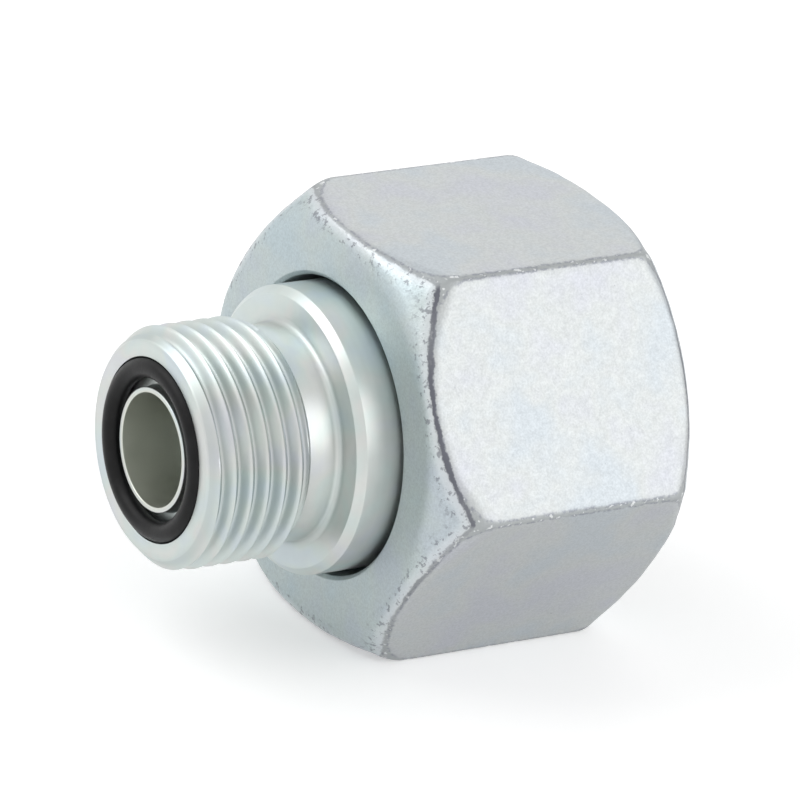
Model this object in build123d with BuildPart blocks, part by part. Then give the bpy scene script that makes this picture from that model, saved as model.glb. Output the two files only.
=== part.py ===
from build123d import *
from math import ceil, radians, sqrt, tan
import os

# Straight hydraulic reducer: a turned body with a small male end and a large flat-faced
# head, the O-ring in the face of the male end, and a loose hexagonal nut on the head.
# All sizes are millimetres. X runs along the axis from the male sealing face into the
# fitting, Z is up, and the nut lies on one of its flats.

# Male end of the body
male_thread_diameter = 20.64
male_thread_pitch = 1.5875
male_chamfer = 1.12
male_thread_start = -0.57
neck_start = 10.0
neck_diameter = 18.5
neck_chamfer = 0.5

# Seal groove in the male face, and the thin lip inside it
groove_outer_diameter = 15.74
groove_inner_diameter = 10.6
groove_depth = 1.32
lip_setback = 0.1
ring_section = 1.78
ring_clearance = 0.02

# Flow passage
bore_diameter = 9.7
head_bore_diameter = 15.5
head_bore_depth = 11.5
drill_point_angle = 118.0
head_bore_chamfer = 0.3

# Collar and head of the body
collar_face = 12.95
collar_diameter = 24.7
collar_chamfer = 0.65
head_back = 21.55
head_length = 7.0
head_chamfer = 0.4

# Nut
nut_length = 26.0
nut_corner_radius = 0.6
nut_hole_length = 5.3
nut_hole_chamfer = 0.35
rear_crown_inset = 0.4
rear_crown_angle = 42.0
rear_crown_blend = 3.0
front_crown_inset = 0.8
front_crown_angle = 30.0
nut_thread_diameter = 30.16
nut_thread_depth = 1.1458
nut_wall = 2.92
nut_relief_width = 4.3
nut_relief_depth = 0.22
nut_mouth_chamfer = 0.3

# Fits between the nut and the body
collar_clearance = 0.5
head_clearance = 0.135
seat_gap = 0.1

# Male thread form
thread_half_angle = 30.0
male_thread_crest = 0.2
male_thread_depth = 0.974
male_thread_runout = 0.95
cutter_overrun = 0.1

# Sizes that follow
male_radius = male_thread_diameter / 2
neck_radius = neck_diameter / 2
bore_radius = bore_diameter / 2
head_bore_radius = head_bore_diameter / 2
collar_radius = collar_diameter / 2
groove_outer_radius = groove_outer_diameter / 2
groove_inner_radius = groove_inner_diameter / 2
nut_thread_radius = nut_thread_diameter / 2
nut_minor_radius = nut_thread_radius - nut_thread_depth
flat_radius = nut_thread_radius + nut_wall
nut_hole_radius = collar_radius + collar_clearance
nut_relief_radius = nut_thread_radius + nut_relief_depth
head_radius = nut_minor_radius - head_clearance
seal_face = head_back + head_length
nut_seat = head_back + nut_hole_radius - collar_radius - seat_gap * sqrt(2)
nut_rear = nut_seat - nut_hole_length
nut_front = nut_rear + nut_length


def groove_turn(pitch, mouth, floor, crest):
    """One turn of the space between the crests of a right-hand thread, starting at X = 0.

    mouth and floor are the groove's radii where it opens and where it ends, and crest
    is the width of the thread's flat top.
    """
    slope = tan(radians(thread_half_angle))
    reach = mouth - floor + cutter_overrun
    half_floor = (pitch - crest) / 2 - (mouth - floor) * slope
    half_mouth = half_floor + reach * slope
    with BuildPart() as groove:
        with BuildLine():
            turn = Helix(pitch, pitch, floor, direction=(1, 0, 0))
        with BuildSketch(Plane(turn @ 0, x_dir=(turn @ 0).normalized(), z_dir=turn % 0)):
            with BuildLine():
                Polyline(
                    (0, -half_floor),
                    (reach, -half_mouth),
                    (reach, half_mouth),
                    (0, half_floor),
                    close=True,
                )
            make_face()
        sweep(is_frenet=True)
    return groove.part


def cut_thread(turn, pitch, start, end):
    """Cut a thread into the part in hand, turn by turn, from start to end along X."""
    for count in range(ceil((end - start) / pitch)):
        with Locations((start + count * pitch, 0, 0)):
            add(turn, mode=Mode.SUBTRACT)


# Body: one turned piece with the groove, the thread, the collar and the head
male_root = male_radius - male_thread_depth
male_thread_end = neck_start + male_thread_runout
male_turn = groove_turn(male_thread_pitch, male_radius, male_root, male_thread_crest)
head_bore_end = seal_face - head_bore_depth
drill_point = (head_bore_radius - bore_radius) / tan(radians(drill_point_angle / 2))
with BuildPart() as fitting_body:
    with BuildSketch(Plane.XZ) as body_section:
        with BuildLine():
            Polyline(
                (lip_setback, bore_radius),
                (lip_setback, groove_inner_radius),
                (groove_depth, groove_inner_radius),
                (groove_depth, groove_outer_radius),
                (0, groove_outer_radius),
                (0, male_radius - male_chamfer),
                (male_chamfer, male_radius),
                (neck_start - (male_radius - neck_radius), male_radius),
                (neck_start, neck_radius),
                (collar_face, neck_radius),
                (collar_face, collar_radius - collar_chamfer),
                (collar_face + collar_chamfer, collar_radius),
                (head_back, collar_radius),
                (head_back + head_radius - collar_radius, head_radius),
                (seal_face - head_chamfer, head_radius),
                (seal_face, head_radius - head_chamfer),
                (seal_face, head_bore_radius + head_bore_chamfer),
                (seal_face - head_bore_chamfer, head_bore_radius),
                (head_bore_end, head_bore_radius),
                (head_bore_end - drill_point, bore_radius),
                close=True,
            )
        make_face()
        neck_corner = body_section.vertices().sort_by_distance((collar_face, neck_radius))[0]
        chamfer(neck_corner, neck_chamfer)
    revolve(axis=Axis.X)
    cut_thread(male_turn, male_thread_pitch, male_thread_start, male_thread_end)
fitting_body.part.label = "fitting_body"

# O-ring, lying on the floor of its groove and against the groove's outer wall
ring_radius = groove_outer_radius - ring_section / 2 - ring_clearance
ring_centre = groove_depth - ring_section / 2 - ring_clearance
with BuildPart() as face_seal_o_ring:
    with BuildSketch(Plane.XZ):
        with Locations((ring_centre, ring_radius)):
            Circle(ring_section / 2)
    revolve(axis=Axis.X)
face_seal_o_ring.part.label = "face_seal_o_ring"

# Nut: a forged hexagon with crowned ends, its hole, seat, relief and threaded bore
relief_end = nut_seat + nut_relief_radius - nut_hole_radius + nut_relief_width
corner_reach = 2 * flat_radius / sqrt(3)
rear_crown_radius = flat_radius - rear_crown_inset
front_crown_radius = flat_radius - front_crown_inset
rear_crown_drop = (corner_reach - rear_crown_radius) * tan(radians(rear_crown_angle))
front_crown_drop = (corner_reach - front_crown_radius) * tan(radians(front_crown_angle))
with BuildPart() as swivel_nut:
    with BuildSketch(Plane.YZ.offset(nut_rear)) as hexagon:
        RegularPolygon(flat_radius, 6, major_radius=False)
        fillet(hexagon.vertices(), nut_corner_radius)
    extrude(amount=nut_length)
    with BuildSketch(Plane.XZ) as crown_section:
        with BuildLine():
            Polyline(
                (nut_rear, 0),
                (nut_rear, rear_crown_radius),
                (nut_rear + rear_crown_drop, corner_reach),
                (nut_front - front_crown_drop, corner_reach),
                (nut_front, front_crown_radius),
                (nut_front, 0),
                close=True,
            )
        make_face()
        rear_rim = crown_section.vertices().sort_by_distance((nut_rear, rear_crown_radius))[0]
        fillet(rear_rim, rear_crown_blend)
    revolve(axis=Axis.X, mode=Mode.INTERSECT)
    with BuildSketch(Plane.XZ):
        with BuildLine():
            Polyline(
                (nut_rear, 0),
                (nut_rear, nut_hole_radius + nut_hole_chamfer),
                (nut_rear + nut_hole_chamfer, nut_hole_radius),
                (nut_seat, nut_hole_radius),
                (relief_end - nut_relief_width, nut_relief_radius),
                (relief_end, nut_relief_radius),
                (relief_end + nut_relief_depth, nut_thread_radius),
                (nut_front - nut_mouth_chamfer, nut_thread_radius),
                (nut_front, nut_thread_radius + nut_mouth_chamfer),
                (nut_front, 0),
                close=True,
            )
        make_face()
    revolve(axis=Axis.X, mode=Mode.SUBTRACT)
swivel_nut.part.label = "swivel_nut"

os.makedirs("parts", exist_ok=True)
for piece in (fitting_body, face_seal_o_ring, swivel_nut):
    export_step(piece.part, f"parts/{piece.part.label}.step")
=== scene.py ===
"""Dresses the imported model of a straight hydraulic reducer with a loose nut, as an add-on."""

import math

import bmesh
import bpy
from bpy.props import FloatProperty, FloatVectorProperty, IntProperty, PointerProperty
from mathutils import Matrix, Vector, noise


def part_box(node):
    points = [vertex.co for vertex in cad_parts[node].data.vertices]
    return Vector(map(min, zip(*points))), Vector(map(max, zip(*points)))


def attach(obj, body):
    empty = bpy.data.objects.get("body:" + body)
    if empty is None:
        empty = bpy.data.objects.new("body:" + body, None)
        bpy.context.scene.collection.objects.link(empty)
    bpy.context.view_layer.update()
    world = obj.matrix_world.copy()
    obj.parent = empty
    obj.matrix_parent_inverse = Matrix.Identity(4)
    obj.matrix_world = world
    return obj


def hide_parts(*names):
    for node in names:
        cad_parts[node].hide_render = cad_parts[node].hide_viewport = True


bl_info = {
    "name": "Hydraulic reducer",
    "version": (1, 0, 0),
    "blender": (4, 5, 0),
    "location": "View3D > Sidebar > Fitting",
    "description": "Builds the turned body, the seal and the forged nut of a hydraulic reducer",
    "category": "Add Mesh",
}

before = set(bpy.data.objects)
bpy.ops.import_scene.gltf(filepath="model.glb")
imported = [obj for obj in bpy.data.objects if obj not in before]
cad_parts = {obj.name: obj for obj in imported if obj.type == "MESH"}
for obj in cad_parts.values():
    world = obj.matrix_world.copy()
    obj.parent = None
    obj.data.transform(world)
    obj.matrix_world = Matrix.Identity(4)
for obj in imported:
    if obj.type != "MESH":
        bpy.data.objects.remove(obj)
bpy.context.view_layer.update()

MM = 0.001
FINE = 1e-7
ON_PLANE = 10 * FINE
QUARTER_TURN = math.pi / 2
NUT_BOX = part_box("swivel_nut")
BODY_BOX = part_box("fitting_body")
RING_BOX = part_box("face_seal_o_ring")

# Colours of wear and dirt on the metals and the rubber, and of painted shade, painted light and a
# painted dark reflection on the metals
# painted shade in the grooves of the male thread
GROOVE_SHADE_GREY = (0.36, 0.41, 0.40)
# olive tint of the bore, brighter than the plating: partly its colour, partly painted light
BORE_LIGHT_TINT = (0.64, 0.66, 0.60)
SCUFF_GREY = (0.30, 0.31, 0.34)
CROWN_TINT = (1.04, 1.12, 1.12)
BAND_GREY = (0.36, 0.38, 0.385)
# painted shadow spots where the grey edge band meets a flat
EDGE_SHADOW_GREY = (0.20, 0.21, 0.26)
SPECK_WHITE = (0.80, 0.82, 0.82)
RIM_PALE = (0.72, 0.75, 0.77)
# dark of the pits, and of the painted dark reflection along the nut's crown edge
PIT_AND_REFLECTION_DARK = (0.15, 0.155, 0.18)
DUST_GREY = (0.014, 0.014, 0.015)

# Faint tints of the plating, as places on a noise and their colours
TURNED_TINTS = (
    (0.34, (0.58, 0.65, 0.69)),
    (0.46, (0.61, 0.675, 0.64)),
    (0.56, (0.67, 0.665, 0.63)),
    (0.68, (0.64, 0.635, 0.68)),
)
FORGED_TINTS = (
    (0.36, (0.93, 0.97, 1.0)),
    (0.5, (1.0, 1.0, 0.97)),
    (0.64, (0.96, 0.95, 1.0)),
)

# Radii between which painted shade darkens the thread's grooves, the neck ends that, and the bore
# gets an olive tint that also paints light into it
GROOVE_FADE = (10.25 * MM, 9.5 * MM)
NECK_FADE = (9.28 * MM, 9.4 * MM)
BORE_FADE = (5.3 * MM, 4.8 * MM)

# Studio: each lamp's name, place from the nut's centre, width and power
LAMPS = (
    ("key", (0.31, -0.44, 0.26), 0.42, 0.95),
    ("back", (0.31, 0.44, 0.30), 0.40, 0.25),
    ("overhead", (-0.36, 0.24, 0.42), 0.44, 1.1),
)
WORLD_LIGHT = 0.62
WORLD_SEEN = 1.0
FLOOR_WIDTH = 6.0
FLOOR_GLOW = 0.35
SENSOR_WIDTH = 36.0


def length(name, description, millimetres):
    """A size of the object, shown in the scene's length unit."""
    return FloatProperty(
        name=name, description=description, default=millimetres * MM, unit="LENGTH", precision=5
    )


def angle(name, description, degrees):
    """An angle, kept in radians."""
    return FloatProperty(
        name=name, description=description, default=math.radians(degrees), unit="ROTATION"
    )


def colour(name, description, rgb):
    """A plain colour without transparency."""
    return FloatVectorProperty(
        name=name, description=description, default=rgb, subtype="COLOR", min=0.0, max=1.0
    )


class BodySizes(bpy.types.PropertyGroup):
    """Sizes and colour of the turned body."""

    thread_diameter: length("Thread diameter", "Outside of the male thread", 20.64)
    thread_depth: length("Thread depth", "Height of the male thread's flanks", 0.974)
    thread_pitch: length("Thread pitch", "Distance from crest to crest", 1.5875)
    thread_start: length("Thread start", "Where a groove crosses the top of the body", -0.57)
    male_chamfer: length("Male chamfer", "Chamfer at the male face", 1.12)
    neck_start: length("Neck start", "Where the plain neck begins", 10.0)
    neck_diameter: length("Neck diameter", "Outside of the neck", 18.5)
    neck_fillet: length("Neck fillet", "Radius between neck and collar", 0.62)
    groove_outer: length("Groove outside", "Outer diameter of the seal groove", 15.74)
    groove_inner: length("Groove inside", "Inner diameter of the seal groove", 10.6)
    groove_depth: length("Groove depth", "Depth of the seal groove", 1.32)
    lip_setback: length("Lip setback", "How far the inner lip lies behind the face", 0.1)
    bore_diameter: length("Bore diameter", "Flow bore", 9.7)
    head_bore_diameter: length("Head bore diameter", "Bore behind the head", 15.5)
    head_bore_depth: length("Head bore depth", "Depth of the head's bore", 11.5)
    drill_point: angle("Drill point", "Angle of the head bore's conical end", 118.0)
    collar_face: length("Collar face", "Where the collar begins", 12.95)
    collar_diameter: length("Collar diameter", "Outside of the collar", 24.7)
    collar_chamfer: length("Collar chamfer", "Chamfer of the collar's front edge", 0.65)
    head_back: length("Head back", "Where the collar opens into the head", 21.55)
    face_edge: length("Face edge", "Rounding between male face and chamfer", 0.25)
    edge_radius: length("Edge radius", "Rounding of the turned edges", 0.09)
    colour: colour("Zinc on the body", "Plated colour of the turned body", (0.60, 0.655, 0.655))


class SealSizes(bpy.types.PropertyGroup):
    """Size and colour of the rubber ring."""

    section: length("Section", "Thickness of the rubber ring", 1.78)
    colour: colour("Rubber", "Colour of the seal", (0.007, 0.007, 0.0075))


class NutSizes(bpy.types.PropertyGroup):
    """Sizes and colour of the forged nut."""

    across_flats: length("Across flats", "Spanner width", 36.0)
    corner_radius: length("Corner radius", "Rounding of the long edges", 0.6)
    hole_diameter: length("Hole diameter", "Hole round the collar", 25.7)
    hole_length: length("Hole length", "Length of the plain hole", 5.3)
    hole_chamfer: length("Hole chamfer", "Chamfer at the hole's rear edge", 0.35)
    rear_inset: length("Rear crown inset", "Rear face inside the flats", 0.4)
    rear_angle: angle("Rear crown angle", "Slope of the rear crown", 42.0)
    front_inset: length("Front crown inset", "Front face inside the flats", 0.8)
    front_angle: angle("Front crown angle", "Slope of the front crown", 30.0)
    crown_blend: length("Crown blend", "Softness of the crown's rim", 3.0)
    edge_blend: length("Edge blend", "Softness where crown and flats meet", 0.9)
    unevenness: length("Unevenness", "How far the forged crown's edge wanders", 0.16)
    relief_width: length("Relief width", "Plain groove before the thread", 4.3)
    relief_depth: length("Relief depth", "Depth of that groove past the thread", 0.22)
    thread_diameter: length("Thread diameter", "Nut thread across its roots", 30.16)
    thread_pitch: length("Thread pitch", "Pitch of the nut thread", 2.1167)
    thread_depth: length("Thread depth", "Height of the nut thread's ridges", 1.1458)
    mouth_chamfer: length("Mouth chamfer", "Chamfer at the open end", 0.3)
    colour: colour("Zinc on the nut", "Plated colour of the forged nut", (0.515, 0.535, 0.548))


class StageSettings(bpy.types.PropertyGroup):
    """Where the camera stands and how bright the studio is."""

    azimuth: angle("Azimuth", "Turn of the camera round the object", -35.169)
    elevation: angle("Elevation", "Height angle of the camera", 25.08)
    roll: angle("Roll", "Tilt of the picture", 8.396)
    distance: length("Distance", "From the male face to the camera", 645.2)
    aside: length("Aside", "Camera moved to the right", 20.802)
    above: length("Above", "Camera moved up", 4.189)
    focal_pixels: FloatProperty(
        name="Focal length in pixels", description="Of a picture 800 pixels wide", default=7745.3
    )
    picture: IntProperty(name="Picture", description="Width of the picture in pixels", default=800)
    floor: colour("Floor", "Colour of the floor", (0.86, 0.86, 0.86))


# Shapes that turn round the X axis


def fresh_mesh(name, points, edges):
    """A new active object made of loose points and edges."""
    mesh = bpy.data.meshes.new(name)
    mesh.from_pydata(points, edges, [])
    piece = bpy.data.objects.new(name, mesh)
    bpy.context.scene.collection.objects.link(piece)
    bpy.ops.object.select_all(action="DESELECT")
    bpy.context.view_layer.objects.active = piece
    piece.select_set(True)
    return piece


def radius_of(co):
    """Distance of a point from the X axis."""
    return math.hypot(co.y, co.z)


def set_radius(co, radius):
    """Moves a point straight in or out to that distance from the X axis."""
    factor = radius / radius_of(co)
    co.y *= factor
    co.z *= factor


def rounded(corners, steps=3):
    """An outline of (x, r) points whose corners (x, r, radius) are turned into arcs."""
    outline = []
    for index, corner in enumerate(corners):
        here = Vector(corner[:2])
        radius = corner[2] if len(corner) > 2 else 0.0
        if radius <= 0.0 or index in (0, len(corners) - 1):
            outline.append(here)
            continue
        back = (Vector(corners[index - 1][:2]) - here).normalized()
        ahead = (Vector(corners[index + 1][:2]) - here).normalized()
        half = back.angle(ahead) / 2
        centre = here + (back + ahead).normalized() * (radius / math.sin(half))
        start = here + back * (radius / math.tan(half)) - centre
        end = here + ahead * (radius / math.tan(half)) - centre
        sweep = start.angle_signed(end)
        for step in range(steps + 1):
            outline.append(centre + Matrix.Rotation(-sweep * step / steps, 2) @ start)
    return outline


def wound_thread(name, section, pitch, start, end, columns):
    """An open tube: one pitch of thread section at the top of the axis, wound from start to end."""
    points = [(start + x, 0.0, r) for x, r in section]
    piece = fresh_mesh(name, points, [(i, i + 1) for i in range(len(points) - 1)])
    screw = piece.modifiers.new("wind", "SCREW")
    screw.axis = "X"
    screw.angle = 2 * math.pi
    screw.screw_offset = pitch
    screw.iterations = math.ceil((end - start) / pitch)
    screw.steps = screw.render_steps = columns
    screw.use_merge_vertices = True
    screw.merge_threshold = FINE
    bpy.ops.object.modifier_apply(modifier=screw.name)
    bpy.ops.object.mode_set(mode="EDIT")
    bpy.ops.mesh.select_all(action="SELECT")
    bpy.ops.mesh.remove_doubles(threshold=FINE)
    bpy.ops.object.mode_set(mode="OBJECT")
    return piece


def cut_square(x, keep_above):
    """Cuts the active piece across the axis at x and keeps the side above or below."""
    bpy.ops.object.mode_set(mode="EDIT")
    bpy.ops.mesh.select_mode(type="EDGE")
    bpy.ops.mesh.select_all(action="SELECT")
    bpy.ops.mesh.bisect(
        plane_co=(x, 0, 0),
        plane_no=(1, 0, 0),
        clear_inner=keep_above,
        clear_outer=not keep_above,
        threshold=FINE,
    )


def select_ring(piece, x, radius):
    """Selects only the edges of the open ring at x, in edit mode, and makes them truly round."""
    bpy.ops.mesh.select_all(action="DESELECT")
    shape = bmesh.from_edit_mesh(piece.data)
    for edge in shape.edges:
        if edge.is_boundary and all(abs(v.co.x - x) < ON_PLANE for v in edge.verts):
            edge.select = True
            for vertex in edge.verts:
                set_radius(vertex.co, radius)
    shape.select_flush(True)
    bmesh.update_edit_mesh(piece.data)


def draw_out(outline):
    """Extrudes the selected ring along the (x, r) points of an outline, from its first point."""
    for (x0, r0), (x1, r1) in zip(outline, outline[1:]):
        bpy.ops.mesh.extrude_region_move(TRANSFORM_OT_translate={"value": (x1 - x0, 0, 0)})
        bpy.ops.transform.resize(value=(1, r1 / r0, r1 / r0), center_override=(x1, 0, 0))


def close_and_smooth(sharp_angle):
    """Bridges the active piece's open rings, turns its faces outward and smooths soft edges."""
    bpy.ops.mesh.select_all(action="DESELECT")
    bpy.ops.mesh.select_non_manifold()
    bpy.ops.mesh.bridge_edge_loops()
    bpy.ops.mesh.select_all(action="SELECT")
    bpy.ops.mesh.normals_make_consistent(inside=False)
    bpy.ops.object.mode_set(mode="OBJECT")
    bpy.ops.object.shade_smooth_by_angle(angle=sharp_angle)


def thread_section(pitch, root, crest):
    """One pitch of a thread as (x, r), from groove to groove, with soft roots and crests."""
    steps = 16
    softness = 1.6
    shares = [1 - abs(math.cos(math.pi * step / steps)) ** softness for step in range(steps + 1)]
    return [(pitch * i / steps, root + (crest - root) * share) for i, share in enumerate(shares)]


# Materials


def new_material(name):
    """A node material, its tree and its Principled shader."""
    material = bpy.data.materials.new(name)
    material.use_nodes = True
    tree = material.node_tree
    return material, tree, tree.nodes["Principled BSDF"]


def feed(tree, socket, source):
    """Links another node's output to an input, or sets the input to a plain value."""
    if isinstance(source, bpy.types.NodeSocket):
        tree.links.new(source, socket)
    else:
        socket.default_value = source


def add_node(tree, kind, links=None, **values):
    """Adds a node, sets its properties and feeds its inputs."""
    made = tree.nodes.new(kind)
    for key, value in values.items():
        setattr(made, key, value)
    for key, source in (links or {}).items():
        feed(tree, made.inputs[key], source)
    return made


def maths(tree, operation, *values):
    """The result of one Math node."""
    inputs = dict(enumerate(values))
    return add_node(tree, "ShaderNodeMath", inputs, operation=operation).outputs[0]


def product(tree, first, second):
    """Two values or masks multiplied."""
    return maths(tree, "MULTIPLY", first, second)


def span(tree, value, start, end):
    """Zero at start, one at end and smooth between them; start may be the larger."""
    made = add_node(
        tree,
        "ShaderNodeMapRange",
        {"Value": value, "From Min": min(start, end), "From Max": max(start, end)},
        interpolation_type="SMOOTHSTEP",
    )
    made.inputs["To Min"].default_value = 0.0 if start < end else 1.0
    made.inputs["To Max"].default_value = 1.0 if start < end else 0.0
    return made.outputs["Result"]


def blend_colours(tree, factor, first, second, mode="MIX"):
    """The result of a colour Mix node."""
    made = add_node(tree, "ShaderNodeMix", data_type="RGBA", blend_type=mode)
    sockets = {socket.identifier: socket for socket in made.inputs}
    feed(tree, sockets["Factor_Float"], factor)
    feed(tree, sockets["A_Color"], first)
    feed(tree, sockets["B_Color"], second)
    return next(socket for socket in made.outputs if socket.identifier == "Result_Color")


def ramp(tree, factor, stops):
    """A colour ramp; stops are (position, colour or grey level)."""
    made = add_node(tree, "ShaderNodeValToRGB", {"Fac": factor})
    elements = made.color_ramp.elements
    while len(elements) < len(stops):
        elements.new(0.5)
    for element, (position, level) in zip(elements, stops):
        element.position = position
        rgb = (level, level, level) if isinstance(level, float) else level
        element.color = (*rgb, 1.0)
    return made.outputs["Color"]


def darkened(tree, amount, plain, pattern, low, high, level):
    """The plain colour, darkened to a grey level where the pattern is below low."""
    shade = ramp(tree, pattern, ((low, level), (high, 1.0)))
    return blend_colours(tree, amount, plain, shade, "MULTIPLY")


def overlaid(tree, mask, strength, plain, rgb):
    """The plain colour with another over it where the mask is one."""
    return blend_colours(tree, product(tree, mask, strength), plain, (*rgb, 1.0))


def attribute(tree, name):
    """A float attribute of the mesh."""
    return add_node(tree, "ShaderNodeAttribute", attribute_name=name).outputs["Fac"]


def grain(tree, coordinates, scale, detail=3.0, roughness=0.55, distortion=0.0):
    """Noise at that many grains a metre."""
    return add_node(
        tree,
        "ShaderNodeTexNoise",
        {
            "Vector": coordinates,
            "Scale": scale,
            "Detail": detail,
            "Roughness": roughness,
            "Distortion": distortion,
        },
    ).outputs["Fac"]


def bump(tree, height, distance, strength, normal=None):
    """A Bump node's normal."""
    links = {"Height": height, "Distance": distance, "Strength": strength}
    if normal is not None:
        links["Normal"] = normal
    return add_node(tree, "ShaderNodeBump", links).outputs["Normal"]


def turned_coordinates(tree):
    """Object coordinates, the place along and out from the axis for lathe marks, and the radius."""
    place = add_node(tree, "ShaderNodeTexCoord").outputs["Object"]
    split = add_node(tree, "ShaderNodeSeparateXYZ", {"Vector": place}).outputs
    squares = [product(tree, split[name], split[name]) for name in ("Y", "Z")]
    radius = maths(tree, "SQRT", maths(tree, "ADD", *squares))
    lathe = add_node(tree, "ShaderNodeCombineXYZ", {"X": split["X"], "Y": radius})
    return place, lathe.outputs["Vector"], radius


def turned_zinc(base):
    """Bright zinc on turned steel: fine lathe rings, faint tints, a satin shine, painted shade in
    the thread's grooves and an olive tint with painted light in the bore.
    """
    material, tree, shader = new_material("turned_zinc")
    place, lathe, radius = turned_coordinates(tree)
    rings = grain(tree, lathe, 5200.0, detail=2.0)
    broad_rings = grain(tree, lathe, 900.0, detail=2.0)
    mottle = grain(tree, place, 420.0, detail=4.0)
    tint = grain(tree, place, 150.0, detail=2.0, distortion=0.6)
    plated = blend_colours(tree, 0.6, (*base, 1.0), ramp(tree, tint, TURNED_TINTS))
    streaked = darkened(tree, 0.3, plated, broad_rings, 0.3, 0.7, 0.85)
    cloudy = darkened(tree, 0.35, streaked, mottle, 0.35, 0.65, 0.86)
    # painted shade: the thread's grooves darken from crest to root, where shade falls
    groove_shade = product(tree, span(tree, radius, *GROOVE_FADE), span(tree, radius, *NECK_FADE))
    groove_shaded = overlaid(tree, groove_shade, 0.35, cloudy, GROOVE_SHADE_GREY)
    # inside the bore an olive tint, brighter than the plating, that is partly its colour and partly
    # painted light
    bore_lit = overlaid(tree, span(tree, radius, *BORE_FADE), 1.0, groove_shaded, BORE_LIGHT_TINT)
    feed(tree, shader.inputs["Base Color"], bore_lit)
    shader.inputs["Metallic"].default_value = 1.0
    feed(tree, shader.inputs["Roughness"], ramp(tree, mottle, ((0.3, 0.36), (0.7, 0.43))))
    normal = bump(tree, rings, 0.01 * MM, 0.22)
    feed(tree, shader.inputs["Normal"], bump(tree, mottle, 0.03 * MM, 0.15, normal))
    return material


def forged_zinc(base):
    """Dull zinc on forged steel: sandy grain, ragged grey edges with dark pits and painted shadow
    spots, and a painted dark reflection along the crown's edge.

    The attributes rim and corner hold how far a point lies from the crown's edge, positive
    on the crown, and from the nearest long edge, in millimetres. A third attribute says how
    dark the painted reflection along the crown's edge is.
    """
    material, tree, shader = new_material("forged_zinc")
    place = add_node(tree, "ShaderNodeTexCoord").outputs["Object"]
    sand = grain(tree, place, 5200.0, detail=3.0, roughness=0.65)
    coarse = grain(tree, place, 1700.0, detail=3.0, roughness=0.6)
    mottle = grain(tree, place, 130.0, detail=3.0)
    ragged = grain(tree, place, 900.0, detail=4.0, roughness=0.75)
    pits = grain(tree, place, 1500.0, detail=3.0, roughness=0.7)
    rim, corner, dark_reflection = (attribute(tree, name) for name in ("rim", "corner", "dark_reflection"))
    wobble = product(tree, maths(tree, "SUBTRACT", ragged, 0.5), 0.9)
    rim_line = maths(tree, "ADD", rim, wobble)

    # plain surface: base colour with fine specks and a faint tint, greener on the crown
    speckled = darkened(tree, 0.8, (*base, 1.0), sand, 0.36, 0.64, 0.83)
    tinted = blend_colours(tree, 0.8, speckled, ramp(tree, mottle, FORGED_TINTS), "MULTIPLY")
    crown = span(tree, rim, -0.1, 0.8)
    greened = blend_colours(tree, crown, tinted, (*CROWN_TINT, 1.0), "MULTIPLY")
    scuffed = overlaid(tree, span(tree, pits, 0.71, 0.77), 1.0, greened, SCUFF_GREY)

    # flats: a grey ragged band along every edge, which widens into rounded corners, with broken
    # painted shadow spots where it meets the flat
    corner_width = 4.4
    inward = product(tree, rim, -1.0)
    near = maths(tree, "SMOOTH_MIN", inward, corner, corner_width)
    edge = maths(tree, "ADD", near, product(tree, wobble, 0.6))
    on_flat = span(tree, rim, 0.25, -0.05)
    band = product(tree, span(tree, edge, 0.34, 0.16), on_flat)
    broken = product(tree, on_flat, span(tree, coarse, 0.42, 0.55))
    # painted shadow: broken dark spots along the band's border with the flat
    outline = product(tree, span(tree, edge, 0.42, 0.26), span(tree, edge, 0.02, 0.2))
    banded = overlaid(tree, band, 0.75, scuffed, BAND_GREY)
    shadow_spotted = overlaid(tree, product(tree, outline, broken), 0.5, banded, EDGE_SHADOW_GREY)
    specks = product(tree, band, span(tree, coarse, 0.58, 0.64))
    specked = overlaid(tree, specks, 0.7, shadow_spotted, SPECK_WHITE)

    # crown: a pale rim beside the flats, dark pits, and a painted dark reflection as a line along
    # the crown's edge
    pale = product(tree, span(tree, rim_line, 0.05, 0.25), span(tree, rim_line, 1.3, 0.5))
    rimmed = overlaid(tree, pale, 0.45, specked, RIM_PALE)
    pit_zone = product(tree, span(tree, rim_line, -0.25, 0.1), span(tree, rim_line, 2.4, 0.9))
    pitted = product(tree, pit_zone, span(tree, pits, 0.55, 0.62))
    # painted dark reflection: a dark line along the crown's edge, its strength set flat by flat;
    # the pits beside it are real
    line = product(tree, span(tree, rim_line, -0.42, -0.24), span(tree, rim_line, 0.22, 0.04))
    dark = maths(tree, "MAXIMUM", product(tree, line, dark_reflection), product(tree, pitted, 0.6))
    feed(tree, shader.inputs["Base Color"], overlaid(tree, dark, 1.0, rimmed, PIT_AND_REFLECTION_DARK))
    shader.inputs["Metallic"].default_value = 1.0
    feed(tree, shader.inputs["Roughness"], ramp(tree, coarse, ((0.3, 0.47), (0.7, 0.53))))
    normal = bump(tree, sand, 0.02 * MM, 0.55)
    normal = bump(tree, coarse, 0.03 * MM, 0.22, normal)
    rough_zone = product(tree, maths(tree, "MAXIMUM", pit_zone, band), 0.4)
    feed(tree, shader.inputs["Normal"], bump(tree, pits, 0.15 * MM, rough_zone, normal))
    return material


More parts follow.
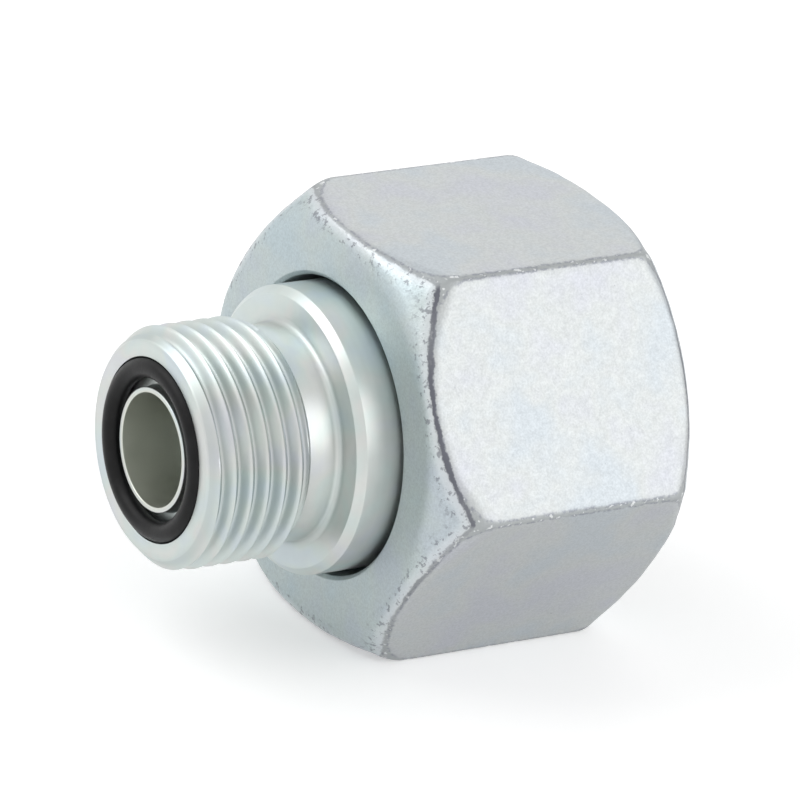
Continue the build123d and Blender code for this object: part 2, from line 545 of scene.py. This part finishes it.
def seal_rubber(base):
    """Black rubber with a fine moulded grain and a soft shine."""
    material, tree, shader = new_material("seal_rubber")
    place = add_node(tree, "ShaderNodeTexCoord").outputs["Object"]
    fine = grain(tree, place, 4000.0, detail=3.0)
    dusty = grain(tree, place, 500.0, detail=3.0)
    dust = ramp(tree, dusty, ((0.45, 0.0), (0.75, 1.0)))
    feed(
        tree,
        shader.inputs["Base Color"],
        blend_colours(tree, dust, (*base, 1.0), (*DUST_GREY, 1.0)),
    )
    feed(tree, shader.inputs["Roughness"], ramp(tree, fine, ((0.3, 0.34), (0.7, 0.46))))
    feed(tree, shader.inputs["Normal"], bump(tree, fine, 0.02 * MM, 0.3))
    shader.inputs["Specular IOR Level"].default_value = 0.2
    return material


def paint(piece, material):
    """Gives the piece that one material."""
    piece.data.materials.clear()
    piece.data.materials.append(material)


# Operators


class FITTING_OT_turned_body(bpy.types.Operator):
    """Turn the body: wound male thread, seal groove, bores, neck, collar and head."""

    bl_idname = "fitting.turned_body"
    bl_label = "Turned body"

    columns = 256
    arc_steps = 4
    sharp_angle = math.radians(32)

    def execute(self, context):
        size = context.scene.fitting_body_sizes
        crest_radius = size.thread_diameter / 2
        root = crest_radius - size.thread_depth
        neck = size.neck_diameter / 2
        section = thread_section(size.thread_pitch, root, crest_radius)
        piece = wound_thread(
            "turned_body",
            section,
            size.thread_pitch,
            size.thread_start - size.thread_pitch,
            size.neck_start + size.thread_pitch,
            self.columns,
        )
        for vertex in piece.data.vertices:
            x = vertex.co.x
            chamfer = crest_radius - size.male_chamfer + max(x, 0.0)
            runout = neck + max(size.neck_start - x, 0.0)
            allowed = min(crest_radius, chamfer, runout)
            if radius_of(vertex.co) > allowed:
                set_radius(vertex.co, allowed)
        cut_square(size.neck_start, False)
        cut_square(size.edge_radius, True)
        select_ring(piece, size.neck_start, neck)
        face = crest_radius - size.male_chamfer
        select_ring(piece, size.edge_radius, face + size.edge_radius)
        draw_out(rounded(self.outline(size, face, neck), self.arc_steps))
        close_and_smooth(self.sharp_angle)
        paint(piece, turned_zinc(size.colour))
        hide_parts("fitting_body")
        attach(piece, "body")
        return {"FINISHED"}

    def outline(self, size, face_radius, neck):
        """The turned outline from the male face through the bores and back to the neck."""
        soft = size.edge_radius
        groove_out = size.groove_outer / 2
        groove_in = size.groove_inner / 2
        bore = size.bore_diameter / 2
        head_bore = size.head_bore_diameter / 2
        collar = size.collar_diameter / 2
        head = BODY_BOX[1].z
        seal_face = BODY_BOX[1].x
        bore_end = seal_face - size.head_bore_depth
        cone = (head_bore - bore) / math.tan(size.drill_point / 2)
        return [
            (soft, face_radius + soft),
            (0.0, face_radius, size.face_edge),
            (0.0, groove_out, soft),
            (size.groove_depth, groove_out, soft * 2),
            (size.groove_depth, groove_in, soft * 2),
            (size.lip_setback, groove_in, soft),
            (size.lip_setback, bore, soft),
            (bore_end - cone, bore, soft),
            (bore_end, head_bore, soft),
            (seal_face - 3 * soft, head_bore, soft),
            (seal_face, head_bore + 3 * soft, soft),
            (seal_face, head - 4 * soft, soft),
            (seal_face - 4 * soft, head, soft),
            (size.head_back + head - collar, head, soft),
            (size.head_back, collar, soft),
            (size.collar_face + size.collar_chamfer, collar, soft * 2),
            (size.collar_face, collar - size.collar_chamfer, soft * 2),
            (size.collar_face, neck, size.neck_fillet),
            (size.neck_start + soft, neck),
        ]


class FITTING_OT_face_seal(bpy.types.Operator):
    """Mould the rubber ring into the groove of the male face."""

    bl_idname = "fitting.face_seal"
    bl_label = "Face seal"

    def execute(self, context):
        size = context.scene.fitting_seal_sizes
        half = size.section / 2
        bpy.ops.object.select_all(action="DESELECT")
        bpy.ops.mesh.primitive_torus_add(
            major_segments=192,
            minor_segments=40,
            major_radius=RING_BOX[1].z - half,
            minor_radius=half,
            location=((RING_BOX[0].x + RING_BOX[1].x) / 2, 0, 0),
            rotation=(0, QUARTER_TURN, 0),
        )
        piece = context.active_object
        piece.name = "face_seal"
        bpy.ops.object.transform_apply(location=True, rotation=True, scale=True)
        bpy.ops.object.shade_smooth()
        paint(piece, seal_rubber(size.colour))
        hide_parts("face_seal_o_ring")
        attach(piece, "body")
        return {"FINISHED"}


class FITTING_OT_forged_nut(bpy.types.Operator):
    """Forge the nut: crowned hexagon, hole, seat, relief and wound inner thread."""

    bl_idname = "fitting.forged_nut"
    bl_label = "Forged nut"

    columns = 360
    rows = 112
    rows_at_rim = 3
    rim_steps = 8
    face_steps = 12
    sharp_angle = math.radians(40)

    # How dark the painted reflection along the crown's edge is beside each flat, and how much less
    # so at the open end
    edge_reflection = (0.50, 0.10, 0.95, 0.25, 0.55, 0.40)
    front_share = 0.55
    patchiness = 0.35
    patch_scale = 260
    patch_shift = (3.1, 0.7, 5.2)

    # The forged crown wanders, and its edge is softer near the long edges
    uneven_scale = 420
    softer_reach = 3 * MM
    softer_share = 1.6
    far_away = 9.0

    def execute(self, context):
        size = context.scene.fitting_nut_sizes
        rear = NUT_BOX[0].x
        front = NUT_BOX[1].x
        root = size.thread_diameter / 2
        crest_radius = root - size.thread_depth
        relief = root + size.relief_depth
        hole = size.hole_diameter / 2
        seat = rear + size.hole_length
        relief_end = seat + relief - hole + size.relief_width
        section = thread_section(size.thread_pitch, root, crest_radius)
        piece = wound_thread(
            "forged_nut",
            section,
            size.thread_pitch,
            relief_end - size.thread_pitch,
            front + size.thread_pitch,
            self.columns,
        )
        mouth = root + size.mouth_chamfer
        for vertex in piece.data.vertices:
            x = vertex.co.x
            allowed = max(relief - max(x - relief_end, 0.0), mouth - max(front - x, 0.0))
            if radius_of(vertex.co) < allowed:
                set_radius(vertex.co, allowed)
        cut_square(relief_end, True)
        cut_square(front, False)
        select_ring(piece, relief_end, relief)
        select_ring(piece, front, mouth)
        flat = size.across_flats / 2
        station = (front - rear) / self.rows
        outline = [(front, mouth), (front, (mouth + flat - size.front_inset) / 2)]
        outline.append((front, flat - size.front_inset))
        walls = range(1, self.rows - self.rows_at_rim)
        outline += [(front - station * row, flat) for row in walls]
        bent = size.crown_blend * (1 - math.cos(size.rear_angle))
        steps = self.rim_steps
        outline += [(rear + bent * (step / steps) ** 2, flat) for step in range(steps, 0, -1)]
        rim = self.rear_crown(size, 0.0)
        outline.append((rear, rim))
        steps = self.face_steps
        chamfer = hole + size.hole_chamfer
        outline += [(rear, rim + (chamfer - rim) * step / steps) for step in range(1, steps)]
        soft = size.hole_chamfer / 2
        outline += rounded(
            [
                (rear, chamfer + soft),
                (rear, chamfer, soft),
                (rear + size.hole_chamfer, hole, soft),
                (seat, hole, soft),
                (seat + relief - hole, relief, soft),
                (relief_end - soft, relief),
            ]
        )[1:]
        draw_out(outline)
        self.shape_outside(piece, size, rear, front)
        close_and_smooth(self.sharp_angle)
        paint(piece, forged_zinc(size.colour))
        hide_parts("swivel_nut")
        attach(piece, "nut")
        return {"FINISHED"}

    def rear_crown(self, size, depth):
        """Radius of the rear crown at a depth behind the rear face, with its rounded rim."""
        rim = size.across_flats / 2 - size.rear_inset
        blend = size.crown_blend
        if depth < blend * (1 - math.cos(size.rear_angle)):
            start = rim - blend * math.tan(size.rear_angle / 2)
            return start + math.sqrt(blend**2 - (blend - depth) ** 2)
        return rim + depth / math.tan(size.rear_angle)

    def shape_outside(self, piece, size, rear, front):
        """Moves the outer rings from a plain drum to the crowned hexagon, with forged edges."""
        bpy.ops.object.mode_set(mode="OBJECT")
        flat = size.across_flats / 2
        mesh = piece.data
        rims = mesh.attributes.new("rim", "FLOAT", "POINT")
        corners = mesh.attributes.new("corner", "FLOAT", "POINT")
        dark_reflection = mesh.attributes.new("dark_reflection", "FLOAT", "POINT")
        for vertex in mesh.vertices:
            rims.data[vertex.index].value = self.far_away
            corners.data[vertex.index].value = self.far_away
            if radius_of(vertex.co) < flat - FINE:
                continue
            x = vertex.co.x
            turn = math.atan2(vertex.co.z, vertex.co.y)
            hexagon, corner_gap = self.hexagon_radius(size, turn)
            place = Vector((x, math.cos(turn) * flat, math.sin(turn) * flat))
            uneven = noise.fractal(place * self.uneven_scale, 0.8, 2.0, 3) * size.unevenness
            depth = x - rear
            ahead = front - x
            rear_crown = self.rear_crown(size, depth) + uneven * min(depth / MM, 1.0)
            front_crown = flat - size.front_inset + ahead / math.tan(size.front_angle)
            crown = min(rear_crown, front_crown + uneven * min(ahead / MM, 1.0))
            near = math.exp(-((corner_gap / self.softer_reach) ** 2))
            blend = size.edge_blend * (1 + self.softer_share * near)
            set_radius(vertex.co, self.soft_least(hexagon, crown, blend))
            past = (hexagon - crown) / MM
            rims.data[vertex.index].value = past
            corners.data[vertex.index].value = corner_gap / MM + max(past, 0.0)
            # strength of the painted dark reflection along the crown's edge, flat by flat and in
            # patches
            side = round(math.degrees(turn) / 60 - 0.5) % 6
            dark = self.edge_reflection[side] * (1.0 if depth < ahead else self.front_share)
            patchy = noise.noise(place * self.patch_scale + Vector(self.patch_shift))
            dark_reflection.data[vertex.index].value = min(1.0, max(0.1, dark + self.patchiness * patchy))
        bpy.ops.object.mode_set(mode="EDIT")

    def hexagon_radius(self, size, turn):
        """Distance from the axis to the hexagon's wall, and to its nearest long edge."""
        flat = size.across_flats / 2
        sixth = math.pi / 3
        from_flat = (turn - QUARTER_TURN + sixth / 2) % sixth - sixth / 2
        from_corner = sixth / 2 - abs(from_flat)
        soft = size.corner_radius
        centre = (flat - soft) / math.cos(sixth / 2)
        tangent = math.atan2(soft * math.sin(sixth / 2), centre + soft * math.cos(sixth / 2))
        if from_corner < tangent:
            side = centre * math.sin(from_corner)
            radius = centre * math.cos(from_corner) + math.sqrt(soft * soft - side * side)
        else:
            radius = flat / math.cos(from_flat)
        return radius, from_corner * radius

    def soft_least(self, first, second, blend):
        """The smaller of two radii, rounded where they meet."""
        share = max(blend - abs(first - second), 0.0) / blend
        return min(first, second) - share * share * blend / 4


class FITTING_OT_studio(bpy.types.Operator):
    """Set the floor, the soft lamps, the pale surroundings and the camera."""

    bl_idname = "fitting.studio"
    bl_label = "Studio"

    def execute(self, context):
        stage = context.scene.fitting_stage
        self.lay_floor(stage)
        self.set_world()
        self.place_camera(stage)
        centre = Vector(((NUT_BOX[0].x + NUT_BOX[1].x) / 2, 0, 0))
        for name, offset, width, power in LAMPS:
            self.hang_lamp(name, centre, centre + Vector(offset), width, power)
        context.scene.view_settings.view_transform = "Standard"
        return {"FINISHED"}

    def lay_floor(self, stage):
        """A wide plane under the nut's lowest flat."""
        bpy.ops.object.select_all(action="DESELECT")
        bpy.ops.mesh.primitive_plane_add(size=FLOOR_WIDTH, location=(0, 0, NUT_BOX[0].z))
        floor = bpy.context.active_object
        floor.name = "floor"
        bpy.ops.object.transform_apply(location=True, rotation=True, scale=True)
        material, tree, shader = new_material("floor")
        shader.inputs["Base Color"].default_value = (*stage.floor, 1.0)
        shader.inputs["Roughness"].default_value = 0.9
        seen = product(tree, self.seen_directly(tree), FLOOR_GLOW)
        glow = add_node(tree, "ShaderNodeEmission", {"Strength": seen})
        both = add_node(tree, "ShaderNodeAddShader", {0: shader.outputs[0], 1: glow.outputs[0]})
        tree.links.new(both.outputs[0], tree.nodes["Material Output"].inputs["Surface"])
        paint(floor, material)

    def seen_directly(self, tree):
        """One for camera, glossy and transmitted rays, and zero for the rest."""
        path = add_node(tree, "ShaderNodeLightPath").outputs
        direct = maths(tree, "MAXIMUM", path["Is Camera Ray"], path["Is Glossy Ray"])
        return maths(tree, "MAXIMUM", direct, path["Is Transmission Ray"])

    def set_world(self):
        """Even pale light, and a white background."""
        world = bpy.data.worlds.new("studio")
        bpy.context.scene.world = world
        world.use_nodes = True
        tree = world.node_tree
        strength = add_node(
            tree,
            "ShaderNodeMix",
            {"Factor": self.seen_directly(tree), "A": WORLD_LIGHT, "B": WORLD_SEEN},
            data_type="FLOAT",
        )
        background = tree.nodes["Background"]
        background.inputs["Color"].default_value = (1.0, 1.0, 1.0, 1.0)
        tree.links.new(strength.outputs[0], background.inputs["Strength"])

    def hang_lamp(self, name, target, place, width, power):
        """A square area lamp at a place, facing the target."""
        lamp = bpy.data.lights.new(name, "AREA")
        lamp.size = width
        lamp.energy = power
        holder = bpy.data.objects.new(name, lamp)
        bpy.context.scene.collection.objects.link(holder)
        holder.location = place
        holder.rotation_euler = (target - place).to_track_quat("-Z", "Y").to_euler()

    def place_camera(self, stage):
        """The photograph's view: turn, height, roll and distance from the male face."""
        azimuth, elevation = stage.azimuth, stage.elevation
        back = Vector(
            (
                math.sin(azimuth) * math.cos(elevation),
                -math.cos(azimuth) * math.cos(elevation),
                math.sin(elevation),
            )
        )
        level = Vector((math.cos(azimuth), math.sin(azimuth), 0.0))
        upright = back.cross(level)
        right = level * math.cos(stage.roll) + upright * math.sin(stage.roll)
        up = upright * math.cos(stage.roll) - level * math.sin(stage.roll)
        data = bpy.data.cameras.new("camera")
        data.sensor_width = SENSOR_WIDTH
        data.lens = stage.focal_pixels * data.sensor_width / stage.picture
        data.clip_start = 0.01
        data.clip_end = 20.0
        camera = bpy.data.objects.new("camera", data)
        bpy.context.scene.collection.objects.link(camera)
        place = back * stage.distance + right * stage.aside + up * stage.above
        turn = Matrix((right, up, back)).transposed().to_4x4()
        camera.matrix_world = Matrix.Translation(place) @ turn
        bpy.context.scene.camera = camera


class FITTING_PT_panel(bpy.types.Panel):
    """Lists the pieces of the fitting."""

    bl_idname = "FITTING_PT_panel"
    bl_label = "Hydraulic reducer"
    bl_space_type = "VIEW_3D"
    bl_region_type = "UI"
    bl_category = "Fitting"

    def draw(self, context):
        for step in STEPS:
            self.layout.operator(step.bl_idname)


STEPS = (FITTING_OT_turned_body, FITTING_OT_face_seal, FITTING_OT_forged_nut, FITTING_OT_studio)
GROUPS = {
    "fitting_body_sizes": BodySizes,
    "fitting_seal_sizes": SealSizes,
    "fitting_nut_sizes": NutSizes,
    "fitting_stage": StageSettings,
}


def register():
    for group in GROUPS.values():
        bpy.utils.register_class(group)
    for name, group in GROUPS.items():
        setattr(bpy.types.Scene, name, PointerProperty(type=group))
    for step in STEPS:
        bpy.utils.register_class(step)
    bpy.utils.register_class(FITTING_PT_panel)


def unregister():
    bpy.utils.unregister_class(FITTING_PT_panel)
    for step in reversed(STEPS):
        bpy.utils.unregister_class(step)
    for name, group in GROUPS.items():
        delattr(bpy.types.Scene, name)
        bpy.utils.unregister_class(group)


def main():
    register()
    bpy.ops.fitting.turned_body()
    bpy.ops.fitting.face_seal()
    bpy.ops.fitting.forged_nut()
    bpy.ops.fitting.studio()


if __name__ == "__main__":
    main()
